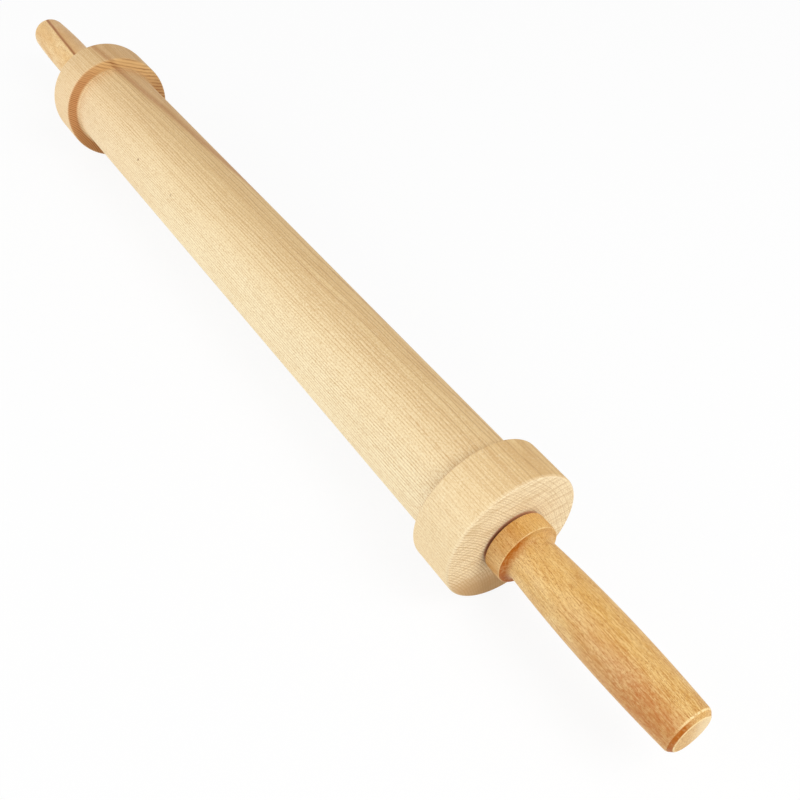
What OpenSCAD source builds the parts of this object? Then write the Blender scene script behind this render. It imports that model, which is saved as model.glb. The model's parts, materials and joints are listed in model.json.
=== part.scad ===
// Rolling pin with a raised gauge ring at each end of its barrel and handles that turn on a steel axle.
// The pin lies along X, its rings stand on Z = 0 and the origin is halfway along. Lengths are in millimetres.
// Turned pieces are drawn as half profiles: x is the radius, y runs along the pin, away from its middle.

/* [Barrel] */
// Diameter of the barrel between the rings
barrel_d = 55; // [48:0.5:65]
// Length of the barrel between the rings
rolling_l = 415.2; // [250:0.2:500]
// Height of the rings above the barrel, which is the thickness that the pin rolls to
gauge = 7.94; // [3:0.01:12]
// Width of each ring
ring_w = 26; // [18:0.2:40]
// Rounding of the rings' edges
ring_round = 1.2; // [0.4:0.1:3]
// Diameter of the hole that the axle passes through
barrel_bore = 11; // [10.6:0.1:12]

/* [Handles] */
// Gap between the barrel's end and the handle's collar
handle_gap = 1.5; // [1.2:0.1:4]
// Diameter of the collar
collar_d = 32.4; // [30:0.2:38]
// Length of the collar
collar_l = 9.6; // [6:0.1:14]
// Rounding of the collar's front lip
lip_round = 1; // [0.4:0.1:1.2]
// Rounding of the collar's back edge
back_round = 0.6; // [0.2:0.1:1.2]
// Radius of the cove between the collar and the grip
cove_r = 3; // [1.5:0.1:3.2]
// Diameter of the grip at its neck and at its end
neck_d = 23.5; // [22:0.1:24]
// Diameter of the grip at its middle, where it swells
swell_d = 26.3; // [24.5:0.1:29]
// Length of the grip, from the cove to the end face
grip_l = 95; // [80:1:130]
// Diameter of the flat end face
end_face_d = 19.2; // [18:0.1:21.5]
// Length of the chamfer round the end face
end_chamfer_l = 2.2; // [1:0.1:4]

/* [Axle and inserts] */
// Diameter of the axle between the bearings
axle_d = 10; // [9:0.1:10.4]
// Diameter of the threaded axle ends
thread_d = 7.9; // [7:0.1:7.9]
// Length of axle that screws into each handle
thread_l = 30; // [24:1:50]
// Diameter of the insert's sleeve
insert_d = 12; // [10:0.1:14]
// Length of the insert, flange included
insert_l = 22; // [16:1:23]
// Diameter of the insert's flange
insert_flange_d = 16; // [15:0.1:22]
// Thickness of the insert's flange
insert_flange_t = 1.8; // [1:0.1:3]

/* [Bearings] */
// Bore of the bearing
bearing_bore = 8; // [8:0.1:8.4]
// Outside diameter of the bearing
bearing_d = 22; // [22:0.1:24]
// Width of the bearing
bearing_w = 7; // [7:0.1:8]
// Diameter of one ball
ball_d = 3.97; // [3.6:0.01:4]
// Balls in one bearing
ball_count = 7; // [5:1:7]
// Diameter of the spacer between the bearing and the handle
spacer_d = 12; // [11:0.1:12.2]

/* [Hidden] */
$fn = 96;

pale_wood = "#F0D8AA";
honey_wood = "#E0B16A";
steel = "#A9ADB2";
bright_steel = "#D2D5D9";
cage_nylon = "#E9E4D4";
brass = "#C8A24A";

// Barrel
ring_r = barrel_d / 2 + gauge;
barrel_l = rolling_l + 2 * ring_w;
barrel_half = barrel_l / 2;
mouth_chamfer = 0.6;
relief_d = 17;
relief_depth = 1;

// Handle: y is counted from the collar's back face
handle_at = barrel_half + handle_gap;
grip_from = collar_l + cove_r;
swell_l = grip_l - end_chamfer_l;
swell_rise = (swell_d - neck_d) / 2;
swell_arc_r = (swell_rise * swell_rise + swell_l * swell_l / 4) / (2 * swell_rise);
cove_root_r = neck_d / 2 - 0.02;
tip_hole_d = 8.6;
tip_room = 4;
axle_tip_chamfer = 1.2;

// Bearing: the balls run midway between the bore and the outside
pitch_r = (bearing_bore + bearing_d) / 4;
ball_r = ball_d / 2;
groove_r = ball_r + 0.075;
land_drop = 1.45;
inner_land_r = pitch_r - land_drop;
outer_land_r = pitch_r + land_drop;
race_chamfer = 0.3;
shield_t = 0.35;
shield_seat = 0.75;
shield_seat_r = outer_land_r + 0.55;
shield_clear = 0.25;
cage_half_w = 2.5;
cage_half_t = 0.75;
pocket_clear = 0.12;

// Puts a turned piece on the pin's axis, its y = 0 at this distance from the middle of the pin.
module on_axis(from = 0) {
    translate([from, 0, ring_r]) rotate([0, 90, 0]) children();
}

// Turns a piece made for the right end round to the left end.
module left_end() {
    rotate([0, 0, 180]) children();
}

// The corner that a rounding of radius r takes off, with the corner itself at the origin.
module off_corner(r) {
    translate([-r, 0]) difference() {
        square(r);
        translate([0, r]) circle(r);
    }
}

// Half profile of a plain length of turning, with its two outer edges rounded.
module rounded_land(r, l, start_round, finish_round) {
    difference() {
        square([r, l]);
        translate([r, 0]) off_corner(start_round);
        translate([r, l]) mirror([0, 1]) off_corner(finish_round);
    }
}

// Half profile of a plain ring from one radius to another.
module band(inner, outer, l) {
    translate([inner, 0]) square([outer - inner, l]);
}

// Half profile of what is bored out of the barrel at one end, with y = 0 at the end face.
module bearing_pocket() {
    square([bearing_d / 2, bearing_w]);
    square([relief_d / 2, bearing_w + relief_depth]);
    polygon([
        [0, 0],
        [bearing_d / 2 + mouth_chamfer, 0],
        [bearing_d / 2, mouth_chamfer],
        [0, mouth_chamfer]
    ]);
}

module barrel() {
    color(pale_wood) on_axis() rotate_extrude() difference() {
        union() {
            translate([0, -barrel_half]) square([barrel_d / 2, barrel_l]);
            for (y = [-barrel_half, barrel_half - ring_w])
                translate([0, y]) rounded_land(ring_r, ring_w, ring_round, ring_round);
        }
        translate([0, -barrel_half]) square([barrel_bore / 2, barrel_l]);
        translate([0, -barrel_half]) bearing_pocket();
        translate([0, barrel_half]) mirror([0, 1]) bearing_pocket();
    }
}

// Half profile of one half of the axle, from its middle: body, journal and threaded end.
module half_axle() {
    shoulder = barrel_half - bearing_w;
    tip = handle_at + thread_l;
    square([axle_d / 2, shoulder]);
    square([bearing_bore / 2, handle_at]);
    square([thread_d / 2, tip - axle_tip_chamfer]);
    polygon([
        [0, tip - axle_tip_chamfer],
        [thread_d / 2, tip - axle_tip_chamfer],
        [thread_d / 2 - axle_tip_chamfer, tip],
        [0, tip]
    ]);
}

module axle_rod() {
    color(steel) on_axis() rotate_extrude() {
        half_axle();
        mirror([0, 1]) half_axle();
    }
}

module ball_groove() {
    translate([pitch_r, bearing_w / 2]) circle(groove_r);
}

module outer_race() {
    color(bright_steel) on_axis(barrel_half - bearing_w) rotate_extrude() difference() {
        band(outer_land_r, bearing_d / 2, bearing_w);
        ball_groove();
        for (y = [0, bearing_w - shield_seat])
            translate([0, y]) square([shield_seat_r, shield_seat]);
        translate([bearing_d / 2, 0]) off_corner(race_chamfer);
        translate([bearing_d / 2, bearing_w]) mirror([0, 1]) off_corner(race_chamfer);
    }
}

module inner_race() {
    color(bright_steel) on_axis(barrel_half - bearing_w) rotate_extrude() difference() {
        band(bearing_bore / 2, inner_land_r, bearing_w);
        ball_groove();
    }
}

// The two dust shields of one bearing, each on its step in the outer race.
module bearing_shields() {
    shield_inner_r = inner_land_r + shield_clear;
    color(steel) for (y = [shield_seat - shield_t, bearing_w - shield_seat])
        on_axis(barrel_half - bearing_w + y) rotate_extrude()
            band(shield_inner_r, shield_seat_r, shield_t);
}

// Places one ball, or one pocket, for each ball of the right bearing.
module at_each_ball() {
    for (i = [0:ball_count - 1])
        on_axis(barrel_half - bearing_w / 2) rotate([0, 0, i * 360 / ball_count])
            translate([pitch_r, 0, 0]) children();
}

module ball_cage() {
    color(cage_nylon) difference() {
        on_axis(barrel_half - bearing_w / 2 - cage_half_w) rotate_extrude()
            band(pitch_r - cage_half_t, pitch_r + cage_half_t, 2 * cage_half_w);
        at_each_ball() rotate([0, 90, 0])
            cylinder(r = ball_r + pocket_clear, h = 4 * cage_half_t, center = true);
    }
}

module bearing_balls() {
    color(bright_steel) at_each_ball() sphere(ball_r);
}

// The ring that the handle clamps against the inner race, which holds the collar off the barrel.
module spacer() {
    color(steel) on_axis(barrel_half) rotate_extrude()
        band(bearing_bore / 2, spacer_d / 2, handle_gap);
}

// The threaded insert that anchors a handle on the axle, its flange flush with the collar's back.
module insert() {
    color(brass) on_axis(handle_at) rotate_extrude() {
        band(thread_d / 2, insert_flange_d / 2, insert_flange_t);
        band(thread_d / 2, insert_d / 2, insert_l);
    }
}

// Half profile of the grip: one long arc from inside the cove over the swell, cut off by the end chamfer.
module grip() {
    chamfer_slope = end_chamfer_l / (neck_d - end_face_d) * 2;
    intersection() {
        polygon([
            [0, -cove_r / 2],
            [swell_d / 2, -cove_r / 2],
            [swell_d / 2, swell_l - swell_rise * chamfer_slope],
            [end_face_d / 2, grip_l],
            [0, grip_l]
        ]);
        translate([swell_d / 2 - swell_arc_r, swell_l / 2]) circle(swell_arc_r, $fn = 720);
    }
}

// Half profile of the hollow corner between the collar and the grip. Its root lies just under the grip's arc.
module cove() {
    difference() {
        square([cove_root_r + cove_r, cove_r]);
        translate([cove_root_r + cove_r, cove_r]) circle(cove_r);
    }
}

module handle() {
    color(honey_wood) on_axis(handle_at) rotate_extrude() difference() {
        union() {
            rounded_land(collar_d / 2, collar_l, back_round, lip_round);
            translate([0, collar_l]) cove();
            translate([0, grip_from]) grip();
        }
        square([insert_flange_d / 2, insert_flange_t]);
        square([insert_d / 2, insert_l]);
        square([tip_hole_d / 2, thread_l + tip_room]);
    }
}

barrel();
axle_rod();
left_end() outer_race();  // left_outer_race
outer_race();  // right_outer_race
left_end() inner_race();  // left_inner_race
inner_race();  // right_inner_race
left_end() bearing_shields();  // left_bearing_shields
bearing_shields();  // right_bearing_shields
left_end() ball_cage();  // left_ball_cage
ball_cage();  // right_ball_cage
left_end() bearing_balls();  // left_bearing_balls
bearing_balls();  // right_bearing_balls
left_end() spacer();  // left_spacer
spacer();  // right_spacer
left_end() insert();  // left_insert
insert();  // right_insert
left_end() handle();  // left_handle
handle();  // right_handle
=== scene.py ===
import json
import math
from types import SimpleNamespace

import bpy
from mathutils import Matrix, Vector


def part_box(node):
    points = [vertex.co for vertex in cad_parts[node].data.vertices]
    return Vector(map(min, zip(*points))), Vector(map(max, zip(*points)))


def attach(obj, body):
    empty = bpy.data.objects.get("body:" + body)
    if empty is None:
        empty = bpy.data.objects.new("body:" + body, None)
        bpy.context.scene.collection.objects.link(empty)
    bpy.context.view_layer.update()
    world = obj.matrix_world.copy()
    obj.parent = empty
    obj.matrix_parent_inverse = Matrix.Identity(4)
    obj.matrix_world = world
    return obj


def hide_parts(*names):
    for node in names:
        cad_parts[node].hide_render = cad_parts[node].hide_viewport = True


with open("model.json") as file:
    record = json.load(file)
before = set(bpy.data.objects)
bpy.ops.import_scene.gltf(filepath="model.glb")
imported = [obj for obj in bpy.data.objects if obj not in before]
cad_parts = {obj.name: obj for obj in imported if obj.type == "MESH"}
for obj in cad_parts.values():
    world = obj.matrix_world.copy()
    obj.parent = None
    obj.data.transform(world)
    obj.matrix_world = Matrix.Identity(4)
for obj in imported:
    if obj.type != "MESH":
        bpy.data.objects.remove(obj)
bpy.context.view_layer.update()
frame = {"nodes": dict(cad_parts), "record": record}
MM = 0.001


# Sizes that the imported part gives, in metres

barrel_low, barrel_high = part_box("barrel")
handle_low, handle_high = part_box("right_handle")
race_low, race_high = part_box("right_outer_race")
insert_low, insert_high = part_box("right_insert")

AXIS_Z = (barrel_low.z + barrel_high.z) / 2
RING_R = barrel_high.y
BARREL_HALF = barrel_high.x
BEARING_R = (race_high.z - race_low.z) / 2
BEARING_IN = race_low.x
HANDLE_BACK = handle_low.x
HANDLE_END = handle_high.x
COLLAR_R = (handle_high.z - handle_low.z) / 2
FLANGE_R = (insert_high.z - insert_low.z) / 2
INSERT_END = insert_high.x
AXLE_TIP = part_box("axle_rod")[1].x

# Driving sizes of the turning, in metres

BARREL_R = 27.5 * MM
RING_W = 26.0 * MM
RING_ROUND = 1.2 * MM
CORNER_FILLET = 0.35 * MM
BORE_R = 5.5 * MM
RELIEF_R = 8.5 * MM
RELIEF_DEPTH = 1.0 * MM
MOUTH_CHAMFER = 0.6 * MM
COLLAR_L = 9.6 * MM
BACK_ROUND = 0.6 * MM
LIP_ROUND = 1.0 * MM
COVE_R = 3.0 * MM
NECK_R = 11.75 * MM
SWELL_R = 13.15 * MM
END_FACE_R = 9.6 * MM
CHAMFER_L = 2.2 * MM
CHAMFER_SOFT = 0.75 * MM
FLANGE_T = 1.8 * MM
SLEEVE_R = 6.0 * MM
TIP_HOLE_R = 4.3 * MM
TIP_ROOM = 4.0 * MM
THREAD_PITCH = 1.25 * MM
THREAD_RUN_IN = 0.6 * MM

SHOULDER = BARREL_HALF - RING_W
COLLAR_FRONT = HANDLE_BACK + COLLAR_L
NECK = COLLAR_FRONT + COVE_R
CHAMFER = HANDLE_END - CHAMFER_L


# Camera at the photograph's viewing angle

CAMERA_AT = Vector((0.42464, -0.18664, 0.39235))
CAMERA_AIM = Vector((0.13605, 0.0059, 0.03544))
LENS_MM = 45.043
SENSOR_MM = 36
CLIP_START = 10 * MM


def aimed(thing, at, aim):
    """Puts a camera or a lamp in place and turns it towards a point."""
    thing.location = at
    thing.rotation_euler = (Vector(aim) - Vector(at)).to_track_quat("-Z", "Y").to_euler()
    bpy.context.scene.collection.objects.link(thing)


camera = bpy.data.objects.new("camera", bpy.data.cameras.new("camera"))
camera.data.lens = LENS_MM
camera.data.sensor_width = SENSOR_MM
camera.data.sensor_fit = "HORIZONTAL"
camera.data.clip_start = CLIP_START
aimed(camera, CAMERA_AT, CAMERA_AIM)
bpy.context.scene.camera = camera


# Node trees written as sums

class Field:
    """A node's output that can be written in sums: each operator adds a Math node to its tree."""

    def __init__(self, tree, socket):
        self.tree = tree
        self.socket = socket

    def math(self, operation, *others):
        return self.tree.math(operation, self, *others)

    def __add__(self, other):
        return self.math("ADD", other)

    def __sub__(self, other):
        return self.math("SUBTRACT", other)

    def __mul__(self, other):
        return self.math("MULTIPLY", other)

    def __truediv__(self, other):
        return self.math("DIVIDE", other)

    def __rsub__(self, other):
        return self.tree.math("SUBTRACT", other, self)

    def __rtruediv__(self, other):
        return self.tree.math("DIVIDE", other, self)

    def __abs__(self):
        return self.math("ABSOLUTE")

    __radd__ = __add__
    __rmul__ = __mul__


def in_use(sockets, key):
    """One of a node's enabled sockets, by its name or by its number among them."""
    enabled = [socket for socket in sockets if socket.enabled]
    if isinstance(key, str):
        return next(socket for socket in enabled if socket.name == key)
    return enabled[key]


class Tree:
    """A node tree, with one way to add any node to it."""

    def __init__(self, graph):
        self.graph = graph
        self.graph.nodes.clear()

    def node(self, kind, settings=None, sockets=None, output=0):
        """Adds a node: its settings first, then its sockets' values or links.

        Gives back one of its outputs, or nothing where it has none.
        """
        node = self.graph.nodes.new(kind)
        for name, value in (settings or {}).items():
            setattr(node, name, value)
        for key, value in (sockets or {}).items():
            socket = in_use(node.inputs, key)
            if isinstance(value, Field):
                self.graph.links.new(value.socket, socket)
            else:
                socket.default_value = value
        return Field(self, in_use(node.outputs, output)) if node.outputs else None

    def math(self, operation, *values):
        return self.node("ShaderNodeMath", {"operation": operation}, dict(enumerate(values)))

    def vector(self, operation, *values):
        return self.node("ShaderNodeVectorMath", {"operation": operation}, dict(enumerate(values)))

    def split(self, vector):
        """The x, y and z of a vector."""
        first = self.node("ShaderNodeSeparateXYZ", sockets={0: vector})
        return [Field(self, socket) for socket in first.socket.node.outputs]

    def smooth(self, value, low, high):
        """0 up to low, 1 from high on, and a soft step between them."""
        return self.node("ShaderNodeMapRange", {"interpolation_type": "SMOOTHSTEP"},
                         {"Value": value, "From Min": low, "From Max": high})

    def noise(self, vector, stretch, detail=2.0, roughness=0.5):
        """Cloudy noise with its own count of lumps to the unit along each direction."""
        scaled = self.vector("MULTIPLY", vector, stretch)
        return self.node("ShaderNodeTexNoise", {}, {"Vector": scaled, "Scale": 1.0, "Detail": detail,
                                                    "Roughness": roughness})

    def mix(self, share, first, second):
        """A colour part of the way from the first to the second."""
        return self.node("ShaderNodeMix", {"data_type": "RGBA"}, {"Factor": share, "A": first, "B": second})


def tone(red, green, blue):
    """The linear values that a shader takes, from a colour picker's values of 0 to 255."""
    def linear(value):
        share = value / 255
        return share / 12.92 if share <= 0.04045 else ((share + 0.055) / 1.055) ** 2.4
    return linear(red), linear(green), linear(blue), 1.0


def hypotenuse(first, second):
    """The straight distance that two distances at right angles make."""
    return (first * first + second * second).math("SQRT")


def painted(tree, colour, coats):
    """Lays coats over a colour in turn. Each is a pair: how much of it shows, and its colour."""
    for share, coat in coats:
        colour = tree.mix(share, colour, coat)
    return colour


def finish(name):
    """A new material and the tree that its nodes go in."""
    material = bpy.data.materials.new(name)
    material.use_nodes = True
    return material, Tree(material.node_tree)


def surface(tree, constants, **fields):
    """Ends a material in one shader, from its constant values and the fields that vary over the surface."""
    links = {name.replace("_", " ").title(): field for name, field in fields.items()}
    shader = tree.node("ShaderNodeBsdfPrincipled", {}, {**constants, **links})
    tree.node("ShaderNodeOutputMaterial", {}, {"Surface": shader})


def relief(tree, height, depth):
    """The normal of a surface whose height, from 0 to 1, is worth a depth in metres."""
    return tree.node("ShaderNodeBump", {}, {"Height": height, "Distance": depth, "Strength": 1.0})


# Wood: where a place lies in it, the lathe's marks on it and its growth rings

MARKS = ("end_grain", "dark", "edge_highlight")


def board(tree, lean):
    """Object coordinates in millimetres from the pin's axis.

    They are turned about it so that y points up by the lean.
    """
    place = tree.node("ShaderNodeTexCoord", output="Object")
    centred = tree.vector("SUBTRACT", place, (0, 0, AXIS_Z))
    return tree.node("ShaderNodeMapping", {"vector_type": "POINT"},
                     {"Vector": centred, "Rotation": (-lean, 0, 0), "Scale": (1 / MM,) * 3})


def mark(tree, label):
    """A value from 0 to 1 that the lathe stored on the surface."""
    return tree.node("ShaderNodeAttribute", {"attribute_name": label}, output="Fac")


def growth_rings(tree, count, early, late):
    """How far a place is into the dark late wood of its growth ring, and a random value for each ring."""
    part = count.math("FRACT")
    own = tree.node("ShaderNodeTexWhiteNoise", {"noise_dimensions": "1D"}, {"W": count.math("FLOOR")})
    return tree.smooth(part, early, late) * (1 - tree.smooth(part, late, 1.0)), own


def dashes(tree, wood, stretch):
    """Short separate dashes along the grain, with their own count to the millimetre along each direction."""
    scaled = tree.vector("MULTIPLY", wood, stretch)
    cells = {"Vector": scaled, "Scale": 1.0}
    return tree.smooth(tree.node("ShaderNodeTexVoronoi", {"feature": "F1"}, cells, "Distance"), 0.46, 0.2)


# Pale wood of the barrel; places and gaps are in millimetres

PALE = SimpleNamespace(
    sapwood=tone(254, 238, 198),
    brown_side=tone(221, 186, 129),
    ring_side=tone(232, 198, 146),
    cloud=tone(238, 208, 156),
    far_end=tone(226, 176, 134),
    streak=tone(200, 158, 108),
    heartwood=tone(206, 164, 118),
    heart_edge=tone(174, 118, 72),
    band=tone(192, 148, 94),
    pale_line=tone(194, 150, 96),
    brown_line=tone(160, 114, 68),
    fibre=tone(206, 168, 114),
    dark_speck=tone(198, 158, 106),
    pale_speck=tone(255, 244, 212),
    knot=tone(140, 96, 58),
    sawn=tone(251, 232, 193),
    sawn_line=tone(192, 154, 102),
    saw_mark=tone(206, 170, 118),
    sawn_speck=tone(204, 168, 116),
    # Painted shade for the sawn end faces' lower left
    sawn_painted_shade=tone(196, 154, 102),
    shoulder_brown=tone(203, 149, 97),
    shoulder_lighter=tone(228, 186, 126),
    shoulder_dark=tone(152, 94, 50),
    ring_edge_highlight=tone(252, 238, 206),
    behind_collar_shade=tone(206, 150, 112),
)
# Lean of the side that faces the camera, and the broad growth bands' own lean from there
VIEW_LEAN = math.radians(28.6)
BAND_LEAN = math.radians(36)
BAND_GAP = 2.2
BAND_START = 0.9
# Thin growth lines, which bend round a pith that lies this far away
LINE_BEND = 80.0
LINE_GAP = 1.3
GRAIN_SLOPE = 0.016
# The heartwood's place across the barrel and its slope along it
HEART_PLACE = 30.0
HEART_SLOPE = 0.063
# Each pin knot's place along the barrel, degrees round from the camera's side, and strength
KNOTS = ((-114.0, -26.0, 0.8), (-67.0, -25.0, 0.45))
KNOT_REACH = (1.3, 0.3)
# Radii over which the barrel's tone turns into the rings'
RING_TONE = (30.0, 34.0)
# Places along the barrel where its far end's tone sets in and where it is full
FAR_END = (-40.0, -200.0)
# In metres: how far from an end face its sawn tone is full, and how soft the edge is of the painted shade
# and reddish bounce light behind each collar
SAWN_REACH = 2.0 * MM
COLLAR_SHADE_EDGE = 1.4 * MM
# Relief of the sanded grain, in metres
SANDED_DEPTH = 0.08 * MM


def growth_bands(tree, grain):
    """Broad growth bands on the browner side."""
    slant = grain.across * math.cos(BAND_LEAN) + grain.beside * math.sin(BAND_LEAN)
    late, own = growth_rings(tree, (slant + grain.drift + BAND_START) / BAND_GAP, 0.3, 0.8)
    return late * (own * 0.6 + 0.4) * tree.smooth(grain.layer, 4.0, 20.0)


def growth_lines(tree, grain):
    """Thin growth lines, each with its own strength and, on the browner side, unevenly spaced."""
    wander = tree.node("ShaderNodeTexNoise", {"noise_dimensions": "1D"},
                       {"W": grain.layer * 0.4, "Scale": 1.0, "Detail": 1.0}) - 0.5
    uneven = wander * tree.smooth(grain.layer, -4.0, 22.0) * 2.2
    late, own = growth_rings(tree, (grain.layer + uneven) / LINE_GAP, 0.45, 0.85)
    return late * (own * (grain.browner * 0.5 + 0.4) - grain.browner * 0.25 + 0.5)


def pale_grain(tree):
    """The barrel's grain: where each place lies in the wood, and how strongly each mark shows there."""
    wood = board(tree, VIEW_LEAN)
    along, across, beside = tree.split(wood)
    sway = tree.noise(wood, (0.008, 0.03, 0.03), detail=1.0) - 0.5
    ripple = tree.noise(wood, (0.05, 0.2, 0.2), detail=1.0) - 0.5
    drift = sway * 3.0 + ripple * 0.9 - along * GRAIN_SLOPE
    layer = hypotenuse(across + LINE_BEND, beside) - LINE_BEND + drift
    radius = hypotenuse(across, beside)
    heart_place = across - along * HEART_SLOPE - HEART_PLACE + sway * 3.0 + ripple * 1.5
    heart = tree.smooth(heart_place, -1.6, 0.6)
    grain = SimpleNamespace(
        wood=wood, along=along, across=across, beside=beside, radius=radius, drift=drift, layer=layer,
        heart=heart,
        heart_edge=heart * (1 - tree.smooth(heart_place, 0.8, 4.6)),
        browner=tree.smooth(layer, -24.0, 36.0),
        on_ring=tree.smooth(radius, *RING_TONE),
        patch=tree.noise(wood, (0.03, 0.15, 0.15), detail=2.0),
        fibre=tree.noise(wood, (0.12, 1.8, 1.8), detail=3.0, roughness=0.65),
        speck=tree.noise(wood, (0.9, 2.0, 2.0), detail=2.0, roughness=0.6),
    )
    grain.band = growth_bands(tree, grain)
    grain.thin = growth_lines(tree, grain)
    dash = tree.noise(wood, (0.6, 1.0, 1.0), detail=2.0, roughness=0.7)
    fade = (1 - tree.smooth(layer, 12.0, 24.0) * 0.15) * (1 - grain.on_ring * (1 - grain.browner) * 0.35)
    grain.line = grain.thin * (grain.patch * 0.9 + 0.4) * (dash * 1.8 + 0.1) * fade
    return grain


def pin_knots(tree, wood):
    """A coat for each pin knot."""
    coats = []
    for along, degrees, strength in KNOTS:
        turn = math.radians(degrees)
        knot = (along, BARREL_R / MM * math.sin(turn), BARREL_R / MM * math.cos(turn))
        away = tree.node("ShaderNodeVectorMath", {"operation": "DISTANCE"}, {0: wood, 1: knot}, "Value")
        coats.append((tree.smooth(away, *KNOT_REACH) * strength, PALE.knot))
    return coats


def barrel_side(tree, grain):
    """The colour of the round sides of the barrel and its rings, from broad tones to the finest specks."""
    cloud = tree.noise(grain.wood, (0.012, 0.07, 0.07), detail=2.0)
    streaks = tree.noise(grain.wood, (0.012, 0.3, 0.3), detail=2.0)
    far_end = tree.smooth(grain.along, *FAR_END) * (1 - grain.browner * 0.6)
    line_tone = tree.mix(tree.smooth(grain.layer, 2.0, 30.0), PALE.pale_line, PALE.brown_line)
    return painted(tree, PALE.sapwood, (
        (grain.browner, PALE.brown_side),
        (grain.on_ring * (1 - grain.browner) * 0.45, PALE.ring_side),
        (tree.smooth(cloud, 0.35, 0.75) * 0.2, PALE.cloud),
        (far_end * 0.22, PALE.far_end),
        (tree.smooth(streaks, 0.45, 0.7) * (grain.browner * 0.2 + 0.03), PALE.streak),
        (grain.heart * 0.55, PALE.heartwood),
        (grain.heart_edge * 0.65, PALE.heart_edge),
        (grain.band * (grain.on_ring * 0.2 + 0.4), PALE.band),
        (grain.line * (0.85 - grain.on_ring * 0.2), line_tone),
        (tree.smooth(grain.fibre, 0.5, 0.66) * 0.32, PALE.fibre),
        (tree.smooth(grain.speck, 0.52, 0.66) * (0.5 - grain.on_ring * 0.2), PALE.dark_speck),
        (tree.smooth(grain.speck, 0.47, 0.34) * (0.36 - grain.browner * 0.2), PALE.pale_speck),
        *pin_knots(tree, grain.wood),
    ))


def sawn_end(tree, grain):
    """The colour of the barrel's sawn end faces, with painted shade towards their lower left."""
    saw = tree.noise(board(tree, 0.0), (0.3, 0.06, 0.9), detail=2.0)
    return painted(tree, PALE.sawn, (
        (grain.thin * (1 - grain.browner * 0.65), PALE.sawn_line),
        (tree.smooth(saw, 0.44, 0.6) * 0.42, PALE.saw_mark),
        (tree.smooth(grain.speck, 0.5, 0.62) * 0.55, PALE.sawn_speck),
        # Painted shade: the sawn end faces darken towards the lower left, where the collar and handle shade
        # them
        (tree.smooth(grain.across + grain.beside, -16.0, -40.0) * 0.8, PALE.sawn_painted_shade),
    ))


def brown_shoulder(tree, grain):
    """The colour of the rings' inner faces: brown, lighter where the growth layers turn browner, and darker
    along the growth bands and lines and towards the lower right.
    """
    low_right = tree.smooth(grain.beside, 8.0, -12.0) * grain.browner
    shoulder_darkening = (grain.band * grain.patch * 1.3 + grain.thin * 1.6 * (1 - grain.browner)
              + low_right * 0.45 + grain.heart_edge * 0.35)
    return painted(tree, PALE.shoulder_brown, (
        (tree.smooth(grain.layer, 2.0, 26.0), PALE.shoulder_lighter),
        (shoulder_darkening, PALE.shoulder_dark),
    ))


def pale_wood():
    """Straight-grained pale wood, sanded and bare, with sawn end faces and darker brown shoulders, painted
    shade behind the collars and painted highlights on the rings' outer edges.
    """
    material, tree = finish("barrel_pale_wood")
    ends, dark, edge_highlight = (mark(tree, label) for label in MARKS)
    grain = pale_grain(tree)
    outside = tree.smooth(abs(grain.along), (SHOULDER + RING_ROUND) / MM, (BARREL_HALF - SAWN_REACH) / MM)
    # Painted shade: the end face behind each collar is painted dark red-brown, for the shadow and reddish
    # bounce light in the gap
    collar_shade = tree.smooth(grain.radius, COLLAR_R / MM, (COLLAR_R - COLLAR_SHADE_EDGE) / MM)
    colour = painted(tree, barrel_side(tree, grain), (
        (tree.smooth(ends, 0.6, 0.98) * outside, sawn_end(tree, grain)),
        (dark, brown_shoulder(tree, grain)),
        # Painted highlight along the rings' rounded outer edges
        (edge_highlight * 0.15, PALE.ring_edge_highlight),
        (collar_shade, PALE.behind_collar_shade),
    ))
    rough = 0.66 - grain.line * 0.1 + grain.fibre * 0.08 - dark * 0.12
    height = grain.line * 0.4 + grain.fibre * 0.4 + grain.speck * 0.2
    surface(tree, {"Specular IOR Level": 0.2}, base_color=colour, roughness=rough,
            normal=relief(tree, height, SANDED_DEPTH))
    return material


# Honey-coloured wood of the handles; places and gaps are in millimetres

HONEY = SimpleNamespace(
    shaded=tone(206, 152, 68),
    ring=tone(178, 120, 54),
    mottle=tone(206, 150, 80),
    dark_fibre=tone(184, 124, 56),
    pale_fibre=tone(250, 220, 154),
    dark_dash=tone(180, 120, 56),
    pore=tone(168, 106, 44),
    red_side=tone(182, 102, 34),
    heartwood=tone(196, 142, 80),
    heart_edge=tone(152, 86, 32),
    painted_shade=tone(176, 96, 8),
    sawn=tone(230, 187, 113),
    sawn_mottle=tone(203, 152, 80),
    sawn_painted_light=tone(250, 226, 176),
    sawn_dash=tone(190, 136, 72),
    painted_highlight=tone(255, 230, 172),
)
HONEY_RING_GAP = 2.0
HONEY_RING_SLOPE = 0.06
# Lean of the near handle's wood, and of the side of a handle that takes painted shade
NEAR_LEAN = math.radians(153.6)
LOW_LEAN = math.radians(30)
# The near handle's red side: where along the pin it sets in and where it is full
RED_SIDE = (262.0, 330.0)
# The far handle's heartwood line: its place across the wood and its slope along it
HEART_LINE_PLACE = -7.2
HEART_LINE_SLOPE = -0.037
# Relief of the grain under the varnish, in metres
VARNISHED_DEPTH = 0.05 * MM


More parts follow.
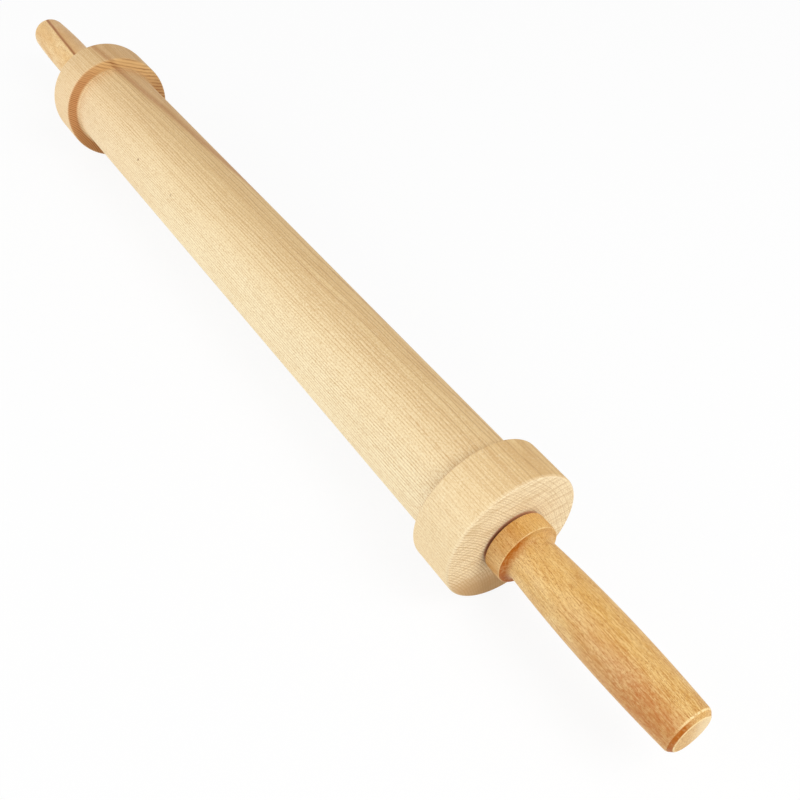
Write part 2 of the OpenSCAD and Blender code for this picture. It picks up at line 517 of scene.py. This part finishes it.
def honey_grain(tree, lean, pith, figure):
    """The handles' grain, round a pith this far off the axis.

    The figure is how strongly the grain shows at the collar and at the end of the grip.
    """
    wood = board(tree, lean)
    along, across, beside = tree.split(wood)
    sway = tree.noise(wood, (0.03, 0.07, 0.07), detail=2.0) - 0.5
    layer = hypotenuse(beside - pith, across) + along * HONEY_RING_SLOPE + sway * 7.0
    late, own = growth_rings(tree, layer / HONEY_RING_GAP, 0.72, 0.94)
    pores = tree.noise(wood, (1.2, 3.0, 3.0), detail=1.0)
    at_collar, at_end = figure
    towards_end = tree.smooth(abs(along), COLLAR_FRONT / MM, HANDLE_END / MM)
    return SimpleNamespace(
        along=along, across=across, beside=beside, sway=sway,
        shade_side=across * math.cos(LOW_LEAN) + beside * math.sin(LOW_LEAN),
        shown=towards_end * (at_end - at_collar) + at_collar,
        ring=late * (own * 0.9 + 0.1),
        cloud=tree.noise(wood, (0.05, 0.14, 0.14), detail=3.0, roughness=0.6),
        mottle=tree.noise(wood, (0.35, 0.8, 0.8), detail=3.0, roughness=0.7),
        fibre=tree.noise(wood, (0.12, 2.4, 2.4)),
        dark_dash=dashes(tree, wood, (0.45, 1.9, 1.9)),
        pale_dash=dashes(tree, wood, (0.55, 2.1, 2.1)),
        pore=tree.smooth(pores + late * 0.05, 0.58, 0.68),
    )


def handle_side(tree, grain, light, deep):
    """The colour of a handle's round sides, between a light and a deep honey tone."""
    return painted(tree, light, (
        (tree.smooth(grain.cloud, 0.3, 0.7), deep),
        (tree.smooth(grain.beside, -4.0, -13.0) * 0.65, HONEY.shaded),
        (grain.ring * grain.cloud * 1.2 * grain.shown, HONEY.ring),
        (tree.smooth(grain.mottle, 0.45, 0.65) * 0.14, HONEY.mottle),
        (tree.smooth(grain.fibre, 0.53, 0.61) * 0.55 * grain.shown, HONEY.dark_fibre),
        (tree.smooth(grain.fibre, 0.47, 0.39) * 0.4 * grain.shown, HONEY.pale_fibre),
        (grain.pale_dash * 0.35 * grain.shown, HONEY.pale_fibre),
        (grain.dark_dash * 0.4 * grain.shown, HONEY.dark_dash),
        (grain.pore * 0.6, HONEY.pore),
    ))


def red_side(tree, grain):
    """A coat for the near handle's red-brown side."""
    side = tree.smooth(grain.across, 6.0, 12.5) * tree.smooth(grain.along, *RED_SIDE)
    return [(side * (grain.mottle * 1.35 - 0.05), HONEY.red_side)]


def heart_line(tree, grain):
    """Coats for the far handle's heartwood and its dark edge."""
    beyond = grain.across - HEART_LINE_PLACE - grain.along * HEART_LINE_SLOPE + grain.sway * 1.2
    heart = tree.smooth(beyond, -0.9, 0.1)
    edge = heart * (1 - tree.smooth(beyond, 0.5, 2.0))
    return [(heart * 0.5, HONEY.heartwood), (edge * 0.85, HONEY.heart_edge)]


def handle_end(tree, grain):
    """The colour of a handle's end face, with painted light on the side away from the shade."""
    return painted(tree, HONEY.sawn, (
        (tree.smooth(grain.mottle, 0.4, 0.6), HONEY.sawn_mottle),
        # Painted light: the end face is lighter on the side away from the shade
        (tree.smooth(grain.shade_side, 4.0, -8.0) * 0.8, HONEY.sawn_painted_light),
        (grain.dark_dash * 0.4, HONEY.sawn_dash),
    ))


def honey_wood(name, light, deep, lean, pith, figure, own_coats):
    """Varnished honey-coloured wood, with coats of one handle's own, painted shade on its shaded side and
    painted highlights on its edges.
    """
    material, tree = finish(name)
    ends, dark, edge_highlight = (mark(tree, label) for label in MARKS)
    grain = honey_grain(tree, lean, pith, figure)
    # Painted shade: coves, collar rims and backs and end chamfers turn deep orange on the handle's shaded
    # side, with a faint darkening all round
    painted_shade = dark * (tree.smooth(grain.shade_side, -3.0, 7.0) * 0.95 + 0.05) * (grain.mottle * 1.6 + 0.15)
    # Painted highlight along the crests of the handle's rounded edges, left off on the shaded side except
    # where an edge faces along the pin
    no_highlight = tree.smooth(grain.shade_side, 2.0, 10.0) * (1 - tree.smooth(ends, 0.72, 0.85)) * 0.85
    painted_highlight = edge_highlight * (1 - no_highlight) * tree.smooth(grain.mottle, 0.32, 0.56)
    colour = painted(tree, handle_side(tree, grain, light, deep), (
        *own_coats(tree, grain),
        (painted_shade, HONEY.painted_shade),
        (tree.smooth(ends, 0.9, 1.0) * (1 - dark), handle_end(tree, grain)),
        (painted_highlight * 0.7, HONEY.painted_highlight),
    ))
    rough = 0.42 + grain.fibre * 0.1 + grain.pore * 0.15
    height = grain.fibre * 0.3 - grain.pore * 0.6 + 0.6
    surface(tree, {"Specular IOR Level": 0.2, "Coat Roughness": 0.22}, base_color=colour, roughness=rough,
            coat_weight=0.08 - dark * 0.07, normal=relief(tree, height, VARNISHED_DEPTH))
    return material


# Metals and nylon of the axle, the bearings and the inserts

THREAD_DEPTH = 0.3 * MM
TOOL_MARK_DEPTH = 0.04 * MM
NYLON_DEPTH = 0.02 * MM


def turned_metal(name, bright, dull, roughness, threaded=False):
    """Metal with the fine rings that a lathe leaves.

    Where it is asked for, there is a screw thread from the handles' backs outwards.
    """
    material, tree = finish(name)
    place = board(tree, 0.0)
    along, across, beside = tree.split(place)
    rings = tree.node("ShaderNodeCombineXYZ", {}, {0: along, 1: hypotenuse(across, beside), 2: 0.0})
    tool_marks = tree.noise(rings, (9.0, 9.0, 1.0), detail=2.0, roughness=0.7)
    stain = tree.noise(place, (0.25, 0.4, 0.4), detail=3.0)
    colour = tree.mix(tool_marks * 0.5 + stain * 0.4, bright, dull)
    rough = tool_marks * 0.16 + stain * 0.1 + roughness
    height = tool_marks * 0.15
    depth = TOOL_MARK_DEPTH
    if threaded:
        turn = beside.math("ARCTAN2", across) / math.tau
        screw = (along / (THREAD_PITCH / MM) + turn).math("PINGPONG", 0.5) * 2.0
        cut = tree.smooth(abs(along), HANDLE_BACK / MM, (HANDLE_BACK + THREAD_RUN_IN) / MM)
        height = height + screw * cut
        depth = THREAD_DEPTH
    surface(tree, {"Metallic": 1.0}, base_color=colour, roughness=rough, normal=relief(tree, height, depth))
    return material


def moulded_nylon(name):
    """Off-white nylon with faint flow marks."""
    material, tree = finish(name)
    place = board(tree, 0.0)
    flow = tree.noise(place, (0.8, 0.5, 0.5), detail=3.0)
    skin = tree.noise(place, (6.0, 6.0, 6.0), detail=1.0)
    colour = tree.mix(flow, tone(240, 235, 220), tone(222, 214, 194))
    surface(tree, {"Specular IOR Level": 0.45}, base_color=colour, roughness=skin * 0.15 + 0.42,
            normal=relief(tree, skin, NYLON_DEPTH))
    return material


# Half profiles, as rows of a place along the pin and a radius, with how dark each row is and how much
# painted highlight it takes

ROUND_STEPS = 8
SOFT_STEPS = 5
COVE_STEPS = 12
GRIP_STEPS = 40
# Radii where a shoulder's darker brown sets in and is full, and how fast it fades over the ring's rounded
# edge
SHOULDER_FOOT = BARREL_R + 0.6 * MM
SHOULDER_FULL = BARREL_R + 2.2 * MM
SHOULDER_FADE = 1.6
# How much painted shade a collar's rim takes on its shaded side
COLLAR_DARK = 0.3
# Rows that are nearer than this to a ring's side or end face count as on it, and not as on its edge
SLACK = 0.0001 * MM


def bend(along, radius, size, start, stop, steps=ROUND_STEPS):
    """Points on an arc round a place of the half profile, between two angles.

    The angles are in degrees from the way along the pin.
    """
    angles = [math.radians(start + (stop - start) * step / steps) for step in range(steps + 1)]
    return [(along + size * math.cos(angle), radius + size * math.sin(angle)) for angle in angles]


def softened(corner, before, after, size):
    """Points that round a corner off, from a size before it to a size after it."""
    corner, before, after = Vector(corner), Vector(before), Vector(after)
    enter = corner + (before - corner).normalized() * size
    leave = corner + (after - corner).normalized() * size
    points = []
    for step in range(SOFT_STEPS + 1):
        share = step / SOFT_STEPS
        pull = 2 * share * (1 - share)
        points.append(tuple(enter * (1 - share) ** 2 + corner * pull + leave * share ** 2))
    return points


def mirrored(rows):
    """A half profile's rows for the other end of the pin."""
    return [(-along, radius) for along, radius in reversed(rows)]


def held(value):
    """A value held between 0 and 1."""
    return min(1.0, max(0.0, value))


def barrel_marks(along, radius):
    """Marks of one of the barrel's rows: dark on its brown shoulders, and a painted highlight on its rings'
    outer edges.
    """
    past = (along - SHOULDER) / RING_ROUND
    height = (radius - SHOULDER_FOOT) / (SHOULDER_FULL - SHOULDER_FOOT)
    dark = held(1.0 - SHOULDER_FADE * past) * held(height)
    on_edge = all(SLACK < inset < RING_ROUND for inset in (BARREL_HALF - along, RING_R - radius))
    return dark, float(on_edge)


def barrel_profile():
    """The barrel's half profile: a loop that runs left to right along its outside and back in its bore."""
    ring_in = RING_R - RING_ROUND
    right = [(0, BORE_R), (BEARING_IN - RELIEF_DEPTH, BORE_R), (BEARING_IN - RELIEF_DEPTH, RELIEF_R)]
    right += [(BEARING_IN, RELIEF_R), (BEARING_IN, BEARING_R)]
    right += [(BARREL_HALF - MOUTH_CHAMFER, BEARING_R), (BARREL_HALF, BEARING_R + MOUTH_CHAMFER)]
    right += bend(BARREL_HALF - RING_ROUND, ring_in, RING_ROUND, 0, 90)
    right += bend(SHOULDER + RING_ROUND, ring_in, RING_ROUND, 90, 180)
    right += [(SHOULDER, SHOULDER_FULL), (SHOULDER, SHOULDER_FOOT)]
    right += bend(SHOULDER - CORNER_FILLET, BARREL_R + CORNER_FILLET, CORNER_FILLET, 0, -90)
    rows = (right + mirrored(right))[::-1]
    return rows, [barrel_marks(abs(along), radius) for along, radius in rows]


def even_marks(points, dark):
    """Marks of a stretch that is equally dark all along."""
    return [(dark, 0.0)] * len(points)


def cove_marks(points):
    """Marks of a cove: most painted shade at the collar, fading out towards the grip."""
    last = len(points) - 1
    return [(1.0 - (step / last) ** 2, 0.0) for step in range(len(points))]


def edge_marks(points, before, after, width=0):
    """Marks of a rounded edge, which is as dark as its neighbours at its two sides.

    Its crest takes a painted highlight, this many rows wide to each side.
    """
    crest = len(points) // 2
    marks = even_marks(points[:crest], before) + even_marks(points[crest:], after)
    marks[crest - width:crest + width + 1] = [(0.0, 1.0)] * (2 * width + 1)
    return marks


def grip_arc():
    """The grip's long arc over its swell, between the neck and the end chamfer."""
    rise = SWELL_R - NECK_R
    half = (CHAMFER - NECK) / 2
    arc_r = (rise * rise + half * half) / (2 * rise)
    reach = math.degrees(math.asin(half / arc_r))
    middle = (NECK + CHAMFER) / 2
    return bend(middle, SWELL_R - arc_r, arc_r, 90 + reach, 90 - reach, GRIP_STEPS)[1:-1]


def handle_profile():
    """The right handle's half profile, from the bottom of its blind hole to the middle of its end face."""
    hole_end = AXLE_TIP + TIP_ROOM
    flange_in = HANDLE_BACK + FLANGE_T
    hole = [(hole_end, 0), (hole_end, TIP_HOLE_R), (INSERT_END, TIP_HOLE_R), (INSERT_END, SLEEVE_R)]
    hole += [(flange_in, SLEEVE_R), (flange_in, FLANGE_R), (HANDLE_BACK, FLANGE_R)]
    back_edge = bend(HANDLE_BACK + BACK_ROUND, COLLAR_R - BACK_ROUND, BACK_ROUND, 180, 90)
    lip = bend(COLLAR_FRONT - LIP_ROUND, COLLAR_R - LIP_ROUND, LIP_ROUND, 90, 0)
    cove = bend(NECK, NECK_R + COVE_R, COVE_R, 180, 270, COVE_STEPS)
    grip = grip_arc()
    rim, tip = (CHAMFER, NECK_R), (HANDLE_END, END_FACE_R)
    rim_edge = softened(rim, grip[-1], tip, CHAMFER_SOFT)
    tip_edge = softened(tip, rim, (HANDLE_END, 0), CHAMFER_SOFT)
    face = [(HANDLE_END, END_FACE_R - 2 * CHAMFER_SOFT), (HANDLE_END, 0)]
    rows = hole + back_edge + lip + cove + grip + rim_edge + tip_edge + face
    marks = even_marks(hole, 1.0)
    marks += edge_marks(back_edge, 1.0, COLLAR_DARK)
    marks += edge_marks(lip, COLLAR_DARK, 1.0)
    marks += cove_marks(cove)
    marks += even_marks(grip, 0.0)
    marks += edge_marks(rim_edge, 0.0, 1.0, width=1)
    marks += edge_marks(tip_edge, 1.0, 0.0, width=1)
    marks += even_marks(face, 0.0)
    return rows, marks


def end_share(rows, closed):
    """How far each row of a half profile faces along the pin: 0 on its length, 1 on an end."""
    shares = []
    for index, row in enumerate(rows):
        before = rows[index - 1] if index or closed else row
        after = rows[(index + 1) % len(rows)] if index + 1 < len(rows) or closed else row
        step = Vector(after) - Vector(before)
        shares.append(abs(step.y) / step.length if step.length else 0.0)
    return shares


# The lathe, which spins a half profile round the pin's axis

LATHE_INPUTS = {"Profile": "Geometry", "Facets": "Int", "Axis height": "Float", "Wood": "Material"}
MERGE_DISTANCE = 0.001 * MM
SHARP_ANGLE = math.radians(40)
BARREL_FACETS = 224
HANDLE_FACETS = 160


def lathe():
    """Geometry nodes that spin a half profile, and their inputs' identifiers by name."""
    group = bpy.data.node_groups.new("lathe", "GeometryNodeTree")
    identifiers = {}
    for name, kind in LATHE_INPUTS.items():
        socket = group.interface.new_socket(name, in_out="INPUT", socket_type="NodeSocket" + kind)
        identifiers[name] = socket.identifier
    group.interface.new_socket("Turned piece", in_out="OUTPUT", socket_type="NodeSocketGeometry")
    tree = Tree(group)
    profile, facets, height, wood = (tree.node("NodeGroupInput", output=name) for name in LATHE_INPUTS)

    rows = tree.node("GeometryNodeAttributeDomainSize", {"component": "MESH"}, {"Geometry": profile})
    columns = facets + 1.0
    grid = tree.node("GeometryNodeMeshGrid", {}, {"Vertices X": rows, "Vertices Y": columns})
    index = tree.node("GeometryNodeInputIndex")
    row = (index / columns).math("FLOOR")
    angle = (index - row * columns) / facets * math.tau

    def from_profile(kind, value):
        return tree.node("GeometryNodeSampleIndex", {"data_type": kind, "domain": "POINT"},
                         {"Geometry": profile, "Value": value, "Index": row})

    point = from_profile("FLOAT_VECTOR", tree.node("GeometryNodeInputPosition"))
    along, radius = tree.split(point)[:2]
    place = tree.node("ShaderNodeCombineXYZ", {}, {0: along, 1: radius * angle.math("SINE"),
                                                   2: height + radius * angle.math("COSINE")})
    spun = tree.node("GeometryNodeSetPosition", {}, {"Geometry": grid, "Position": place})
    for label in MARKS:
        own = tree.node("GeometryNodeInputNamedAttribute", {"data_type": "FLOAT"}, {"Name": label})
        spun = tree.node("GeometryNodeStoreNamedAttribute", {"data_type": "FLOAT", "domain": "POINT"},
                         {"Geometry": spun, "Name": label, "Value": from_profile("FLOAT", own)})
    closed = tree.node("GeometryNodeMergeByDistance", {}, {"Geometry": spun, "Distance": MERGE_DISTANCE})
    smooth = tree.node("GeometryNodeSetShadeSmooth", {}, {"Geometry": closed})
    real = tree.node("GeometryNodeRealizeInstances", {}, {"Geometry": smooth})
    finished = tree.node("GeometryNodeSetMaterial", {}, {"Geometry": real, "Material": wood})
    tree.node("NodeGroupOutput", {}, {"Turned piece": finished})
    return group, identifiers


LATHE, IDENTIFIERS = lathe()


def turned(name, rows, marks, facets, material, closed=False):
    """Turns a half profile with its marks into a finished piece at the origin.

    A closed profile is a loop, and an open one starts and ends on the axis.
    """
    if closed:
        rows = rows + rows[:1]
        marks = marks + marks[:1]
    profile = bpy.data.meshes.new(name + "_profile")
    profile.from_pydata([(along, radius, 0) for along, radius in rows], [], [])
    for label, values in zip(MARKS, (end_share(rows, closed), *zip(*marks))):
        profile.attributes.new(label, "FLOAT", "POINT").data.foreach_set("value", values)
    blank = bpy.data.objects.new(name + "_blank", profile)
    bpy.context.scene.collection.objects.link(blank)
    modifier = blank.modifiers.new("lathe", "NODES")
    modifier.node_group = LATHE
    modifier[IDENTIFIERS["Facets"]] = facets
    modifier[IDENTIFIERS["Axis height"]] = AXIS_Z
    modifier[IDENTIFIERS["Wood"]] = material
    depsgraph = bpy.context.evaluated_depsgraph_get()
    mesh = bpy.data.meshes.new_from_object(blank.evaluated_get(depsgraph), depsgraph=depsgraph)
    bpy.data.objects.remove(blank)
    mesh.name = name
    mesh.set_sharp_from_angle(angle=SHARP_ANGLE)
    piece = bpy.data.objects.new(name, mesh)
    bpy.context.scene.collection.objects.link(piece)
    return piece


# Turned pieces, each shown in place of the CAD node that it follows

def stand_for(piece, node, body):
    """Shows a turned piece in place of a CAD node."""
    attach(piece, body)
    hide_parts(node)


rows, marks = barrel_profile()
barrel = turned("turned_barrel", rows, marks, BARREL_FACETS, pale_wood(), closed=True)
stand_for(barrel, "barrel", "barrel")

rows, marks = handle_profile()
near_wood = honey_wood("handle_honey_wood", light=tone(243, 212, 150), deep=tone(225, 182, 111),
                       lean=NEAR_LEAN, pith=25.0, figure=(0.7, 1.0), own_coats=red_side)
right_handle = turned("turned_right_handle", rows, marks, HANDLE_FACETS, near_wood)
stand_for(right_handle, "right_handle", "handles")

far_wood = honey_wood("handle_streaked_wood", light=tone(251, 221, 166), deep=tone(232, 190, 128),
                      lean=VIEW_LEAN, pith=30.0, figure=(0.45, 0.45), own_coats=heart_line)
left_handle = turned("turned_left_handle", mirrored(rows), marks[::-1], HANDLE_FACETS, far_wood)
stand_for(left_handle, "left_handle", "handles")


# Better finishes for the pieces that keep their CAD shape

STEEL = turned_metal("axle_turned_steel", tone(190, 193, 198), tone(140, 143, 148), roughness=0.28,
                     threaded=True)
BRIGHT_STEEL = turned_metal("bearing_ground_steel", tone(222, 224, 228), tone(186, 189, 194), roughness=0.14)
SHEET_STEEL = turned_metal("shield_pressed_steel", tone(196, 199, 204), tone(158, 161, 166), roughness=0.34)
BRASS = turned_metal("insert_turned_brass", tone(214, 178, 98), tone(164, 128, 62), roughness=0.24)
NYLON = moulded_nylon("cage_moulded_nylon")

FINISH_OF_SLOT = {
    "axle_steel": STEEL, "bearing_steel": BRIGHT_STEEL, "shield_steel": SHEET_STEEL,
    "cage_nylon": NYLON, "insert_brass": BRASS,
}
for subpart in frame["record"]["subparts"]:
    better = FINISH_OF_SLOT.get(subpart["material_slot"])
    if better is not None:
        for slot in frame["nodes"][subpart["node"]].material_slots:
            slot.material = better


# Studio: pale floor, white surroundings and soft lamps

WHITE = (1.0, 1.0, 1.0, 1.0)
PAPER = (0.88, 0.88, 0.88, 1.0)
FLOOR_HALF = 12.0
FLOOR_SHARE = 0.9
WORLD_LIGHT = 0.6


def seen_directly(tree):
    """1 on rays from the camera, from a reflection or through glass, and 0 on diffuse and shadow rays."""
    seen = tree.node("ShaderNodeLightPath", output="Is Camera Ray")
    rays = seen.socket.node.outputs
    for ray in ("Is Glossy Ray", "Is Transmission Ray"):
        seen = seen.math("MAXIMUM", Field(tree, rays[ray]))
    return seen


def floor():
    """A wide pale floor that shows white and keeps a part of the shadows."""
    material, tree = finish("floor_white")
    paper = tree.node("ShaderNodeBsdfDiffuse", {}, {"Color": PAPER})
    white = tree.node("ShaderNodeEmission", {}, {"Color": WHITE, "Strength": 1.0})
    share = seen_directly(tree) * FLOOR_SHARE
    shown = tree.node("ShaderNodeMixShader", {}, {0: share, 1: paper, 2: white})
    tree.node("ShaderNodeOutputMaterial", {}, {"Surface": shown})
    mesh = bpy.data.meshes.new("floor")
    sides = ((-1, -1), (1, -1), (1, 1), (-1, 1))
    mesh.from_pydata([(x * FLOOR_HALF, y * FLOOR_HALF, 0) for x, y in sides], [], [(0, 1, 2, 3)])
    mesh.materials.append(material)
    plane = bpy.data.objects.new("floor", mesh)
    bpy.context.scene.collection.objects.link(plane)


def surroundings():
    """White to the eye, and a plain level of light on the object."""
    world = bpy.data.worlds.new("surroundings")
    bpy.context.scene.world = world
    world.use_nodes = True
    tree = Tree(world.node_tree)
    level = seen_directly(tree) * (1.0 - WORLD_LIGHT) + WORLD_LIGHT
    sky = tree.node("ShaderNodeBackground", {}, {"Color": WHITE, "Strength": level})
    tree.node("ShaderNodeOutputWorld", {}, {"Surface": sky})


def soft_lamp(name, at, aim, size, watts):
    """A square soft box."""
    lamp = bpy.data.lights.new(name, "AREA")
    lamp.shape = "SQUARE"
    lamp.size = size
    lamp.energy = watts
    aimed(bpy.data.objects.new(name, lamp), at, aim)


floor()
surroundings()
soft_lamp("left_window", at=(-0.22, -0.95, 0.45), aim=(-0.08, 0, 0.03), size=0.9, watts=4.3)
soft_lamp("front_box", at=(0.95, 0.32, 1.05), aim=(0.25, 0, 0.03), size=0.7, watts=8.8)

bpy.context.scene.view_settings.view_transform = "Standard"
